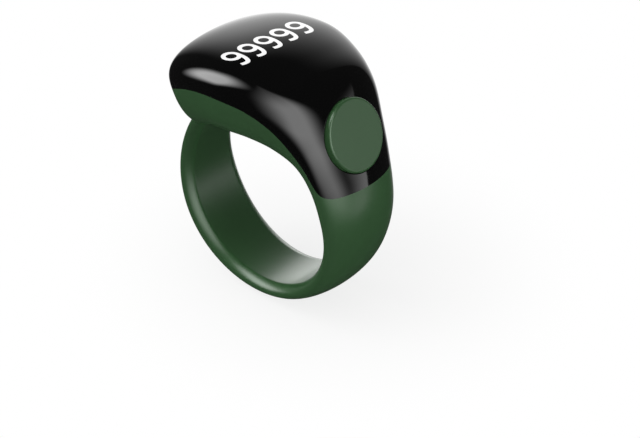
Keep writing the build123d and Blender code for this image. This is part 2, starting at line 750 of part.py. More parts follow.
# Flex from the top edge of the switch board to the underside of the main board
flex_depth = SWITCH_BOTTOM + SWITCH_BOARD_THICK / 2
flex_start = BUTTON_FACE - BUTTON_AXIS * flex_depth + BUTTON_UP * SWITCH_BOARD_HALF_U
flex_level = BOARD_BOTTOM - FLEX_THICK / 2
flex_corner = flex_start + BUTTON_UP * ((flex_level - flex_start.Z) / BUTTON_UP.Z)
with BuildPart() as switch_flex:
    with BuildSketch(Plane.XZ.offset(-FLEX_Y - SWITCH_FLEX_WIDTH / 2)):
        with BuildLine() as flex_path:
            FilletPolyline(
                (flex_start.X, flex_start.Z),
                (flex_corner.X, flex_corner.Z),
                (BOARD_RIGHT - FLEX_LAP, flex_level),
                radius=FLEX_BEND,
            )
        trace(flex_path.line, line_width=FLEX_THICK)
    extrude(amount=SWITCH_FLEX_WIDTH)
finish(switch_flex.part, "switch_flex")
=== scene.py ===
"""Looks of a finger-worn counter ring: satin green body, gloss cover, lit digits and a white studio."""
from math import acos, atan2, ceil, comb, cos, degrees, radians, sin, sqrt

import bmesh
import bpy
from bpy.props import (
    FloatProperty,
    FloatVectorProperty,
    IntProperty,
    PointerProperty,
)
from mathutils import Matrix, Vector


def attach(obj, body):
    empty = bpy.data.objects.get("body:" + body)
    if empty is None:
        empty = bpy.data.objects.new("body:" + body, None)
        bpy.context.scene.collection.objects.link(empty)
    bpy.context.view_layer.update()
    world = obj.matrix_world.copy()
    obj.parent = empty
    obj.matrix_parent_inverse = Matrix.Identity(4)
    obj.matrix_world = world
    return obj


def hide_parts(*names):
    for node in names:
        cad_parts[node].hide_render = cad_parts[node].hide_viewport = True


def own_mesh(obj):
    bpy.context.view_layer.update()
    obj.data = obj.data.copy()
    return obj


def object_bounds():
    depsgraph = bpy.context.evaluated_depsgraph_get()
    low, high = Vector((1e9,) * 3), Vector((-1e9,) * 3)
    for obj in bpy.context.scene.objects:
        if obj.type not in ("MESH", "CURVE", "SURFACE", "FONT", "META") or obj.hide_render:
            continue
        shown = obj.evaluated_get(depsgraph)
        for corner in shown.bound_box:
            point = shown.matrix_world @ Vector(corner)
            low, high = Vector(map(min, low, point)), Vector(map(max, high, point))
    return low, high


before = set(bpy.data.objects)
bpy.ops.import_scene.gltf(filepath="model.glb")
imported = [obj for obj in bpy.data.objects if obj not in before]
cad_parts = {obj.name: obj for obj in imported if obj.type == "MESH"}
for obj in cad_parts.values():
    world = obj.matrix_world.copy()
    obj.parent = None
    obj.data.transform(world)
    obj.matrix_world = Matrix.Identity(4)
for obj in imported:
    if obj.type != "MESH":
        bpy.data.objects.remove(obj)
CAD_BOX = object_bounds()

bl_info = {
    "name": "Counter Ring Looks",
    "version": (1, 0, 0),
    "blender": (4, 5, 0),
    "location": "View3D > Sidebar > Counter Ring",
    "description": "Dresses the packed counter ring with materials, digits and a studio",
    "category": "Object",
}

MM = 0.001

# The part's outer form in millimetres, by stations: angle round the bore, height over it, half width
STATIONS = (
    (132.7, 7.6, 6.9),
    (118.0, 8.15, 8.45),
    (92.0, 7.6, 9.05),
    (77.0, 7.1, 8.35),
    (62.0, 6.55, 7.2),
    (47.0, 4.75, 6.1),
    (32.0, 3.65, 5.6),
    (12.0, 3.25, 5.25),
    (-15.0, 2.62, 4.75),
    (-75.0, 2.02, 4.1),
    (-150.0, 2.02, 4.1),
    (-210.0, 1.9, 3.35),
    (-240.0, 1.9, 3.35),
)
BORE_R = 10.0
HEAD_LAST = -90.0
TAIL_LAST = -238.0
CAP_SPAN = 15.0
CAP_MID = 0.513
CAP_TIP = 88.5
CAP_RINGS = 26

# Cross section on the band and on the head: widest level, corner, fullness of side and top, foot
RISE = (1.02, 3.5)
CORNER = (1.27, 1.7)
SIDE_FULL = (0.46, 0.88)
TOP_FULL = (0.68, 0.985)
FOOT = (0.12, 0.3)
FOOT_DRAW = 1.5
FOOT_PULL = 0.75
SIDE_PULL = 0.35
RISE_FIRST = 12.0
RISE_SPAN = 62.0
FULL_FIRST = 30.0
FULL_SPAN = 70.0

# Parting line between body and cover, seen along the bore
PART_R = 13.85
PART_MIDDLE = (-0.52, 0.3)
PART_FIRST = 155.0
PART_TURN = 63.0
PART_TURN_R = 8.0
TONGUE = (10.6, 5.35)
TONGUE_R = 2.0
FAR = 30.0

# Button seat and charge pins
BUTTON_TILT = 23.0
BUTTON_ANGLE = 45.2
BUTTON_PROUD = 0.28
WELL_R = 3.9
WELL_DEPTH = 1.5
ROOM_R = 4.45
ROOM_DEPTH = 2.7
SWITCH_ROOM_R = 2.3
SWITCH_DEPTH = 3.25
PIN_PLACES = ((0.0, -1.5), (0.0, 1.5))
PIN_R = 0.82
PIN_TOP = 10.45

# Figure nine in shares of its width and height: middle of the bowl, turn and tip of the tail, handles
BOWL_LEVEL = 0.697
TAIL_TURN = 0.42
TIP = (0.08, 0.045)
TIP_BEFORE = (-0.05, 0.03)
TIP_AFTER = (0.10, -0.035)
TURN_BEFORE = -0.14
# Handle of a Bezier quarter round over its radius
ROUND_OFF = 0.5523

# Lamps by direction and size, and the card behind the ring in millimetres
LAMP_DISTANCE = 0.5
KEY_FROM = (-0.58, -0.43, 0.69)
KEY_SIZE = 0.35
FILL_FROM = (0.9, -0.1, 0.42)
FILL_SIZE = 0.4
CARD_PLACE = (-19.0, 18.7, -4.5)
CARD_FACES = (2.0, 0.0, -9.8)
CARD_WIDTH = 22.0
CARD_HEIGHT = 15.0

# Panels that the gloss mirrors: directions, windows of turn and height in degrees, brightness
SOFTBOX_FROM = (-0.584, -0.440, 0.682)
SOFTBOX_LONG = (0.672, 0.197, 0.714)
SOFTBOX_SHORT = (0.448, -0.875, -0.181)
SOFTBOX_REACH = (0.47, 0.267)
SOFTBOX_LEVEL = 8.1
PANEL_TURN = (6, 66, 88, 113)
PANEL_HEIGHT = (-24, 12, 50, 95)
PANEL_LEVEL = 4.0
EDGE_FACES = (-0.528, 0.583, -0.617)
EDGE_LEVEL = 2.1
BACKDROP_TURN = (-186, -156, -134, -108)
BACKDROP_HEIGHT = (-40, -14, 14, 54)
BACKDROP_LEVEL = 1.3
DIM_LEVEL = 0.032

# Floor: its own grey, how white it stays in its painted shade, and how far the painted shade reaches over
# its radius
FLOOR_GREY = 0.9
SHADE_WHITE = 0.77
SHADE_REACH = 0.19


class CounterForm(bpy.types.PropertyGroup):
    """How finely the smooth shells are drawn"""

    ring_step: FloatProperty(
        name="Ring Step", description="Angle from one cross section to the next", subtype="ANGLE",
        default=radians(1.6), min=radians(0.5),
    )
    arch: IntProperty(
        name="Arch Points", description="Points over the arch of a section", default=72, min=16,
    )
    corner: IntProperty(
        name="Corner Points", description="Points round a lower corner", default=20, min=6,
    )
    foot: IntProperty(name="Foot Points", description="Points along the bore wall", default=12, min=3)
    sharp: FloatProperty(
        name="Sharp Angle", description="Edges bent by more than this stay sharp", subtype="ANGLE",
        default=radians(36),
    )


class CounterBodyFinish(bpy.types.PropertyGroup):
    """Finish of the green moulded pieces"""

    color: FloatVectorProperty(
        name="Green", description="Colour of the moulded plastic", subtype="COLOR", size=3,
        default=(0.0325, 0.090, 0.0325), min=0.0, max=1.0,
    )
    roughness: FloatProperty(
        name="Roughness", description="Satin of the moulded surface", default=0.30, min=0.0, max=1.0,
        subtype="FACTOR",
    )
    grain: FloatProperty(
        name="Grain Size", description="Size of the fine moulded grain", default=0.12 * MM, unit="LENGTH",
        precision=6,
    )
    grain_depth: FloatProperty(
        name="Grain Depth", description="Depth of the fine moulded grain", default=0.0012 * MM,
        unit="LENGTH", precision=6,
    )


class CounterCoverFinish(bpy.types.PropertyGroup):
    """Finish of the gloss cover"""

    color: FloatVectorProperty(
        name="Black", description="Colour of the cover", subtype="COLOR", size=3,
        default=(0.0022, 0.0022, 0.0022), min=0.0, max=1.0,
    )
    roughness: FloatProperty(
        name="Roughness", description="Polish of the cover", default=0.06, min=0.0, max=1.0,
        subtype="FACTOR",
    )
    wipe: FloatProperty(
        name="Wipe Marks", description="Size of the faint cloudy marks in the polish", default=2.5 * MM,
        unit="LENGTH", precision=5,
    )


class CounterDigits(bpy.types.PropertyGroup):
    """Sizes of the row of digits that shines through the cover"""

    count: IntProperty(name="Digits", description="How many digits the row has", default=5, min=1, max=6)
    height: FloatProperty(
        name="Height", description="Height of a digit", default=2.82 * MM, unit="LENGTH", precision=5,
    )
    stretch: FloatProperty(
        name="Stretch", description="How much taller the display draws each digit", default=1.29, min=0.5,
    )
    slim: FloatProperty(
        name="Slimness", description="Width of a digit over its height", default=0.67, subtype="FACTOR",
    )
    stroke: FloatProperty(
        name="Stroke", description="Stroke width over the digit's height", default=0.143, subtype="FACTOR",
    )
    advance: FloatProperty(
        name="Advance", description="Step from one digit to the next", default=2.344 * MM, unit="LENGTH",
        precision=5,
    )
    centre: FloatVectorProperty(
        name="Centre", description="Middle of the row on the cover", size=3, unit="LENGTH",
        default=(-0.235 * MM, -1.227 * MM, 17.52 * MM), precision=5,
    )
    fall_back: FloatProperty(
        name="Fall Back", description="Lean of the flat display towards the back of the head",
        subtype="ANGLE", default=radians(6.4),
    )
    fall_along: FloatProperty(
        name="Fall Along", description="Lean of the flat display along the row", subtype="ANGLE",
        default=radians(0.7),
    )
    lift: FloatProperty(
        name="Lift", description="Height of the row over the cover", default=0.012 * MM, unit="LENGTH",
        precision=6,
    )
    thickness: FloatProperty(
        name="Thickness", description="Thickness of the lit layer", default=0.03 * MM, unit="LENGTH",
        precision=6,
    )
    glow: FloatProperty(name="Glow", description="Brightness of the lit digits", default=0.93, min=0.0)


class CounterStage(bpy.types.PropertyGroup):
    """Camera, floor and light of the studio"""

    azimuth: FloatProperty(
        name="Azimuth", description="Turn of the camera round the ring", subtype="ANGLE",
        default=radians(42.586),
    )
    elevation: FloatProperty(
        name="Elevation", description="Height of the camera as an angle", subtype="ANGLE",
        default=radians(32.139),
    )
    distance: FloatProperty(
        name="Distance", description="Camera to the middle of the bore", default=165.31 * MM,
        unit="LENGTH",
    )
    lens: FloatProperty(
        name="Lens", description="Focal length on a 36 mm sensor", default=87.46, unit="CAMERA",
    )
    shift_x: FloatProperty(name="Shift X", description="Sideways shift of the frame", default=0.06435)
    shift_y: FloatProperty(name="Shift Y", description="Upward shift of the frame", default=-0.05105)
    floor_radius: FloatProperty(
        name="Floor Radius", description="Radius of the round floor", default=0.16, unit="LENGTH",
    )
    ambient: FloatProperty(name="Ambient", description="Even light from all round", default=0.53, min=0.0)
    key: FloatProperty(name="Key", description="Lamp at the upper left", default=0.9, unit="POWER")
    fill: FloatProperty(name="Fill", description="Lamp at the right", default=0.5, unit="POWER")
    card: FloatProperty(
        name="Low Card", description="Card behind the ring, mirrored in its bore", default=0.0021,
        unit="POWER", precision=5,
    )
    # Middle of the painted shade on the floor
    shade: FloatVectorProperty(
        name="Shade", description="Middle of the shade on the floor", size=2, unit="LENGTH",
        default=(1.7 * MM, 7.0 * MM), precision=5,
    )


def fresh_material(name):
    """Node material with only its output and a Principled shader."""
    material = bpy.data.materials.new(name)
    material.use_nodes = True
    tree = material.node_tree
    tree.nodes.clear()
    output = tree.nodes.new("ShaderNodeOutputMaterial")
    shader = tree.nodes.new("ShaderNodeBsdfPrincipled")
    tree.links.new(shader.outputs["BSDF"], output.inputs["Surface"])
    return material, tree, shader


def noise(tree, size, detail=2.0):
    """Noise on object coordinates with features of a given size in metres."""
    place = tree.nodes.new("ShaderNodeTexCoord")
    texture = tree.nodes.new("ShaderNodeTexNoise")
    texture.inputs["Scale"].default_value = 1.0 / size
    texture.inputs["Detail"].default_value = detail
    tree.links.new(place.outputs["Object"], texture.inputs["Vector"])
    return texture.outputs["Fac"]


def ranged(tree, value, low, high):
    """Value from 0..1 brought to a range."""
    node = tree.nodes.new("ShaderNodeMapRange")
    node.inputs["To Min"].default_value = low
    node.inputs["To Max"].default_value = high
    tree.links.new(value, node.inputs["Value"])
    return node.outputs["Result"]


def bump(tree, shader, height, depth):
    """Fine relief of a given depth in metres on a shader."""
    node = tree.nodes.new("ShaderNodeBump")
    node.inputs["Distance"].default_value = depth
    tree.links.new(height, node.inputs["Height"])
    tree.links.new(node.outputs["Normal"], shader.inputs["Normal"])


def shaded(tree, shader, color, value, spread):
    """Base colour that drifts a little lighter and darker with a value."""
    ramp = tree.nodes.new("ShaderNodeValToRGB")
    for element, gain in zip(ramp.color_ramp.elements, (1.0 - spread, 1.0 + spread)):
        element.color = (*[c * gain for c in color], 1.0)
    tree.links.new(value, ramp.inputs["Fac"])
    tree.links.new(ramp.outputs["Color"], shader.inputs["Base Color"])


def satin_green(finish):
    """Satin moulded plastic with fine grain."""
    material, tree, shader = fresh_material("satin_green")
    color = finish.color
    shaded(tree, shader, color, noise(tree, 3.0 * MM), 0.05)
    grain = noise(tree, finish.grain, 3.0)
    tree.links.new(
        ranged(tree, grain, finish.roughness - 0.04, finish.roughness + 0.04), shader.inputs["Roughness"]
    )
    bump(tree, shader, grain, finish.grain_depth)
    return material


def gloss_black(finish):
    """Polished black plastic with faint cloudy wipe marks."""
    material, tree, shader = fresh_material("gloss_black")
    shaded(tree, shader, finish.color, noise(tree, finish.wipe), 0.1)
    tree.links.new(
        ranged(tree, noise(tree, finish.wipe, 4.0), finish.roughness * 0.7, finish.roughness * 1.3),
        shader.inputs["Roughness"],
    )
    return material


def grained(name, color, roughness, metallic, size, depth):
    """Plain material for pieces inside: a little drift of colour, grain and relief."""
    material, tree, shader = fresh_material(name)
    shader.inputs["Metallic"].default_value = metallic
    value = noise(tree, size, 3.0)
    shaded(tree, shader, color, value, 0.12)
    tree.links.new(ranged(tree, value, roughness - 0.06, roughness + 0.06), shader.inputs["Roughness"])
    bump(tree, shader, value, depth)
    return material


def lit_white(settings):
    """Glowing white of the digits, a touch uneven like light through a dark cover."""
    material, tree, shader = fresh_material("lit_white")
    shader.inputs["Base Color"].default_value = (0.02, 0.02, 0.02, 1.0)
    shader.inputs["Roughness"].default_value = 0.3
    shader.inputs["Emission Color"].default_value = (1.0, 1.0, 1.0, 1.0)
    glow = ranged(tree, noise(tree, 0.4 * MM), settings.glow - 0.02, settings.glow + 0.02)
    tree.links.new(glow, shader.inputs["Emission Strength"])
    return material


def along(angle, column):
    """Height (column 1) or half width (column 2) of the form at an angle, smooth between stations."""
    rows = STATIONS

    def slope(i):
        low, high = max(i - 1, 0), min(i + 1, len(rows) - 1)
        return (rows[high][column] - rows[low][column]) / (rows[high][0] - rows[low][0])

    i = 0
    while i < len(rows) - 2 and angle < rows[i + 1][0]:
        i += 1
    span = rows[i + 1][0] - rows[i][0]
    t = (angle - rows[i][0]) / span
    return (
        (2 * t**3 - 3 * t**2 + 1) * rows[i][column]
        + (t**3 - 2 * t**2 + t) * span * slope(i)
        + (3 * t**2 - 2 * t**3) * rows[i + 1][column]
        + (t**3 - t**2) * span * slope(i + 1)
    )


def head_share(angle, first, span):
    """0 on the band before the first angle, 1 on the head after the span, eased between."""
    t = min(1.0, max(0.0, (angle - first) / span))
    return t * t * (3 - 2 * t)


def mixed(pair, share):
    return pair[0] + (pair[1] - pair[0]) * share


def bezier(poles, count):
    """Points along a Bezier curve of any degree."""
    last = len(poles) - 1
    points = []
    for step in range(count + 1):
        t = step / count
        weights = [comb(last, i) * t**i * (1 - t) ** (last - i) for i in range(last + 1)]
        points.append(tuple(sum(w * pole[k] for w, pole in zip(weights, poles)) for k in (0, 1)))
    return points


def section(settings, angle, scale=1.0):
    """One closed cross section, from the +Y foot over the arch and back along the bore wall."""
    share = head_share(angle, RISE_FIRST, RISE_SPAN)
    full = head_share(angle, FULL_FIRST, FULL_SPAN)
    height = along(angle, 1)
    half = along(angle, 2)
    rise = mixed(RISE, share)
    corner = mixed(CORNER, share)
    depth = mixed(FOOT, share)
    side = mixed(SIDE_FULL, full) * (height - rise)
    top = mixed(TOP_FULL, full) * half
    peak = (32 * height - 12 * rise - 10 * side) / 20
    foot = half - FOOT_DRAW * corner
    low = bezier(
        ((foot, -depth), (foot + FOOT_PULL * corner, -depth), (half, SIDE_PULL * rise), (half, rise)),
        settings.corner,
    )
    arch = bezier(
        (
            (half, rise), (half, rise + side), (top, peak),
            (-top, peak), (-half, rise + side), (-half, rise),
        ),
        settings.arch,
    )
    mirrored = [(-y, z) for y, z in reversed(low)]
    bottom = [(foot * (2 * i / settings.foot - 1), -depth) for i in range(1, settings.foot)]
    middle = height * CAP_MID
    a = radians(angle)
    points = []
    for y, z in low[:-1] + arch[:-1] + mirrored + bottom:
        radius = BORE_R + max(0.0, middle + (z - middle) * scale)
        points.append(Vector((radius * cos(a), y * scale, radius * sin(a))) * MM)
    return points


def spaced(first, last, step):
    """Values from first to last in even steps of about one size."""
    count = ceil(abs(last - first) / step)
    return [first + (last - first) * i / count for i in range(count + 1)]


def tube(rings, close_first, close_last):
    """Mesh through closed rings of points, with its ends closed if asked."""
    work = bmesh.new()
    rows = [[work.verts.new(point) for point in ring] for ring in rings]
    count = len(rows[0])
    for one, two in zip(rows, rows[1:]):
        for i in range(count):
            j = (i + 1) % count
            work.faces.new((one[i], one[j], two[j], two[i]))
    if close_first:
        work.faces.new(rows[0])
    if close_last:
        work.faces.new(rows[-1])
    bmesh.ops.recalc_face_normals(work, faces=work.faces)
    mesh = bpy.data.meshes.new("tube")
    work.to_mesh(mesh)
    work.free()
    return mesh


def head_mesh(settings):
    """The rounded end, the head and the band down to the foot of the ring, closed at both ends."""
    first = STATIONS[0][0]
    rings = []
    for turn in spaced(CAP_TIP, 0.0, CAP_TIP / CAP_RINGS)[:-1]:
        place = first - CAP_SPAN * (1 - sin(radians(turn)))
        rings.append(section(settings, place, cos(radians(turn))))
    for angle in spaced(first - CAP_SPAN, HEAD_LAST, degrees(settings.ring_step)):
        rings.append(section(settings, angle))
    return tube(rings, True, True)


def tail_mesh(settings):
    """The rest of the band, from the foot of the ring up into the head."""
    angles = spaced(HEAD_LAST, TAIL_LAST, degrees(settings.ring_step))
    return tube([section(settings, angle) for angle in angles], False, True)


def swept(centre, radius, first, last, step=2.0):
    """Points along an arc between two angles in degrees."""
    return [
        (centre[0] + radius * cos(radians(a)), centre[1] + radius * sin(radians(a)))
        for a in spaced(first, last, step)
    ]


def parting_outline():
    """Corners of the region outside the parting line, seen along the bore."""
    centre = Vector(PART_MIDDLE)
    turn = Vector((PART_R * cos(radians(PART_TURN)), PART_R * sin(radians(PART_TURN))))
    tongue = Vector(TONGUE)
    down = (tongue - centre - turn).normalized()
    inward = Vector((down.y, -down.x))
    # The round at the turn touches the arc from inside and the straight run down to the tongue
    reach = PART_TURN_R + turn.dot(inward)
    rest = sqrt((PART_R - PART_TURN_R) ** 2 - reach**2)
    middle = inward * reach - down * rest
    arc_end = degrees(atan2(middle.y, middle.x))
    run_start = degrees(atan2(-inward.y, -inward.x))
    # The round at the tongue's corner lies on the outer side
    bend = acos(down.x)
    back = TONGUE_R * sin(bend / 2) / cos(bend / 2)
    tongue_middle = Vector((tongue.x + back, tongue.y + TONGUE_R))
    outline = swept(centre, PART_R, PART_FIRST, arc_end)
    outline += swept(centre + middle, PART_TURN_R, arc_end, run_start)[1:]
    outline += swept(tongue_middle, TONGUE_R, degrees(atan2(inward.y, inward.x)) % 360, 270.0, 6.0)
    outline += [(FAR, TONGUE[1]), (FAR, FAR), (-FAR, FAR), (-FAR, outline[0][1])]
    return outline


def parting_mesh():
    """Block over everything outside the parting line."""
    outline = parting_outline()
    rings = [[Vector((x, y, z)) * MM for x, z in outline] for y in (-FAR, FAR)]
    return tube(rings, True, True)


def round_mesh(start, end, radius):
    """Cylinder between two points in millimetres."""
    axis = end - start
    work = bmesh.new()
    turn = axis.to_track_quat("Z", "Y").to_matrix().to_4x4()
    bmesh.ops.create_cone(
        work, cap_ends=True, segments=160, radius1=radius * MM, radius2=radius * MM,
        depth=axis.length * MM, matrix=Matrix.Translation((start + end) / 2 * MM) @ turn,
    )
    mesh = bpy.data.meshes.new("round")
    work.to_mesh(mesh)
    work.free()
    return mesh


def linked(name, mesh):
    """New object with a mesh, at the origin."""
    piece = bpy.data.objects.new(name, mesh)
    bpy.context.collection.objects.link(piece)
    return piece


def carve(piece, mesh, operation="DIFFERENCE"):
    """Cuts a piece by a closed mesh, which is used up."""
    tool = linked("tool", mesh)
    modifier = piece.modifiers.new("carve", "BOOLEAN")
    modifier.solver = "MANIFOLD"
    modifier.operation = operation
    modifier.object = tool
    graph = bpy.context.evaluated_depsgraph_get()
    result = bpy.data.meshes.new_from_object(piece.evaluated_get(graph))
    piece.modifiers.remove(modifier)
    bpy.data.objects.remove(tool)
    if not result.vertices:
        raise RuntimeError(f"nothing is left of {piece.name}")
    piece.data = result


def button_axis():
    """Unit direction that the button faces."""
    return Vector((cos(radians(BUTTON_TILT)), 0.0, sin(radians(BUTTON_TILT))))


def carve_button_seat(piece):
    """Opens the seat of the button and the rooms for its flange and its switch."""
    axis = button_axis()
    a = radians(BUTTON_ANGLE)
    ridge = BORE_R + along(BUTTON_ANGLE, 1)
    face = Vector((ridge * cos(a), 0.0, ridge * sin(a))) + axis * BUTTON_PROUD
    carve(piece, round_mesh(face - axis * WELL_DEPTH, face + axis * WELL_R, WELL_R))
    carve(piece, round_mesh(face - axis * ROOM_DEPTH, face - axis * WELL_DEPTH, ROOM_R))
    carve(piece, round_mesh(face - axis * SWITCH_DEPTH, face - axis * WELL_DEPTH, SWITCH_ROOM_R))


def at_foot(face):
    """Whether a face closes the band at the foot of the ring."""
    place = face.calc_center_median()
    return place.z < 0 and abs(place.x) < 0.001 * MM and abs(face.normal.x) > 0.99


def dress(piece, material, sharp, node):
    """Smooth shading, one material, and the CAD node the piece stands for."""
    mesh = piece.data
    mesh.materials.clear()
    mesh.materials.append(material)
    mesh.shade_smooth()
    mesh.set_sharp_from_angle(angle=sharp)
    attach(piece, "ring")
    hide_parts(node)


def give(node, material):
    """Puts one material on a CAD node."""
    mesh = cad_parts[node].data
    mesh.materials.clear()
    mesh.materials.append(material)


class COUNTER_OT_green_pieces(bpy.types.Operator):
    """Gives the ring body and the button their satin green plastic"""

    bl_idname = "counter.green_pieces"
    bl_label = "Green Pieces"

    def execute(self, context):
        material = satin_green(context.scene.counter_body)
        form = context.scene.counter_form
        piece = linked("body_shell", head_mesh(form))
        carve(piece, parting_mesh())
        carve_button_seat(piece)
        for x, y in PIN_PLACES:
            carve(piece, round_mesh(Vector((x, y, 0.0)), Vector((x, y, PIN_TOP)), PIN_R))
        work = bmesh.new()
        work.from_mesh(piece.data)
        ends = [f for f in work.faces if at_foot(f)]
        bmesh.ops.delete(work, geom=ends, context="FACES_ONLY")
        work.from_mesh(tail_mesh(form))
        bmesh.ops.remove_doubles(work, verts=work.verts, dist=0.001 * MM)
        bmesh.ops.recalc_face_normals(work, faces=work.faces)
        work.to_mesh(piece.data)
        work.free()
        dress(piece, material, form.sharp, "ring_body")
        give("button_cap", material)
        return {"FINISHED"}


class COUNTER_OT_gloss_cover(bpy.types.Operator):
    """Gives the top cover its polished black plastic"""

    bl_idname = "counter.gloss_cover"
    bl_label = "Gloss Cover"

    def execute(self, context):
        form = context.scene.counter_form
        piece = linked("cover_shell", head_mesh(form))
        carve(piece, parting_mesh(), "INTERSECT")
        carve_button_seat(piece)
        dress(piece, gloss_black(context.scene.counter_cover), form.sharp, "top_cover")
        return {"FINISHED"}


# Finishes inside the head: colour, roughness, metal share, grain size and depth in millimetres, nodes
INSIDE = (
    ("silicone", (0.015, 0.015, 0.015), 0.6, 0.0, 0.2, 0.002, ("motor_boot", "button_seal")),
    ("display_glass", (0.002, 0.002, 0.003), 0.12, 0.0, 1.0, 0.0002, ("display_panel",)),
    ("clear_sheet", (0.6, 0.62, 0.64), 0.2, 0.0, 1.0, 0.0002, ("display_adhesive",)),
    ("foam", (0.01, 0.01, 0.01), 0.9, 0.0, 0.15, 0.02, ("display_foam",)),
    ("solder_mask", (0.01, 0.06, 0.03), 0.35, 0.0, 0.4, 0.001, ("main_board", "switch_board")),
    ("chip_resin", (0.012, 0.012, 0.012), 0.5, 0.0, 0.1, 0.002, ("controller_chip", "charger_chip")),
    ("tinned", (0.62, 0.61, 0.58), 0.3, 1.0, 0.2, 0.001, ("crystal", "board_passives")),
    ("amber_film", (0.42, 0.16, 0.02), 0.3, 0.0, 0.6, 0.0005, ("display_flex", "switch_flex")),
    ("foil_pouch", (0.6, 0.6, 0.62), 0.35, 1.0, 0.8, 0.004, ("battery_cell",)),
    ("paper_tape", (0.55, 0.5, 0.38), 0.7, 0.0, 0.2, 0.003, ("battery_tape",)),
    ("lead_skin", (0.3, 0.012, 0.01), 0.45, 0.0, 0.3, 0.001, ("battery_leads", "motor_leads")),
    ("drawn_steel", (0.5, 0.5, 0.5), 0.25, 1.0, 0.3, 0.0006, ("motor_can", "motor_shaft", "switch_dome")),
    ("sintered", (0.22, 0.22, 0.23), 0.55, 1.0, 0.08, 0.002, ("motor_weight",)),
    ("gold_plate", (0.83, 0.55, 0.18), 0.2, 1.0, 0.3, 0.0004, ("charge_pins",)),
    ("nickel_plate", (0.6, 0.6, 0.6), 0.2, 1.0, 0.4, 0.0004, ("charge_magnets",)),
    ("black_nylon", (0.008, 0.008, 0.008), 0.5, 0.0, 0.1, 0.001,
     ("flex_connector", "motor_endcap", "switch_body", "switch_plunger")),
)


class COUNTER_OT_inside_pieces(bpy.types.Operator):
    """Gives every piece inside the head its own finish"""

    bl_idname = "counter.inside_pieces"
    bl_label = "Inside Pieces"

    def execute(self, context):
        for name, color, roughness, metallic, size, depth, nodes in INSIDE:
            material = grained(name, color, roughness, metallic, size * MM, depth * MM)
            for node in nodes:
                give(node, material)
        return {"FINISHED"}


class COUNTER_OT_snap_dome(bpy.types.Operator):
    """Makes the switch's steel dome as a merged piece of its own in place of the CAD node; in the real
    switch the button presses this dome flat.
    """

    bl_idname = "counter.snap_dome"
    bl_label = "Snap Dome"

    def execute(self, context):
        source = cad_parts["switch_dome"]
        mesh = source.data.copy()
        mesh.transform(source.matrix_world)
        work = bmesh.new()
        work.from_mesh(mesh)
        bmesh.ops.remove_doubles(work, verts=work.verts, dist=0.0001 * MM)
        work.to_mesh(mesh)
        work.free()
        piece = linked("snap_dome", mesh)
        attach(piece, "ring")
        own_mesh(piece)
        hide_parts("switch_dome")
        return {"FINISHED"}


def nine_curve(settings):
    """Centre line of one figure nine, drawn from its tail's end round its bowl, in the XY plane."""
    tall = settings.height
    wide = settings.slim * tall
    half = settings.stroke * tall / 2
    middle = wide / 2
    bowl_y = BOWL_LEVEL * tall
    bowl_x = middle - half
    bowl_up = tall - half - bowl_y
    tail_x = TAIL_TURN * wide
    right = wide - half
    tail_run = right - tail_x
    tail_rise = bowl_y - half
    points = (
        (
            (TIP[0] * wide, half + TIP[1] * tall),
            (TIP_BEFORE[0] * wide, TIP_BEFORE[1] * tall),
            (TIP_AFTER[0] * wide, TIP_AFTER[1] * tall),
        ),
        ((tail_x, half), (TURN_BEFORE * wide, 0.0), (ROUND_OFF * tail_run, 0.0)),
        ((right, bowl_y), (0.0, -ROUND_OFF * tail_rise), (0.0, ROUND_OFF * bowl_up)),
        ((middle, bowl_y + bowl_up), (ROUND_OFF * bowl_x, 0.0), (-ROUND_OFF * bowl_x, 0.0)),
        ((half, bowl_y), (0.0, ROUND_OFF * bowl_up), (0.0, -ROUND_OFF * bowl_up)),
        ((middle, bowl_y - bowl_up), (-ROUND_OFF * bowl_x, 0.0), (ROUND_OFF * bowl_x, 0.0)),
        ((right, bowl_y), (0.0, -ROUND_OFF * bowl_up), (0.0, ROUND_OFF * bowl_up)),
    )
    curve = bpy.data.curves.new("nine_stroke", "CURVE")
    curve.dimensions = "3D"
    curve.resolution_u = 24
    spline = curve.splines.new("BEZIER")
    spline.bezier_points.add(len(points) - 1)
    for knot, (place, before, after) in zip(spline.bezier_points, points):
        knot.handle_left_type = "FREE"
        knot.handle_right_type = "FREE"
        knot.co = (*place, 0.0)
        knot.handle_left = (place[0] + before[0], place[1] + before[1], 0.0)
        knot.handle_right = (place[0] + after[0], place[1] + after[1], 0.0)
    return bpy.data.objects.new("nine_stroke", curve)


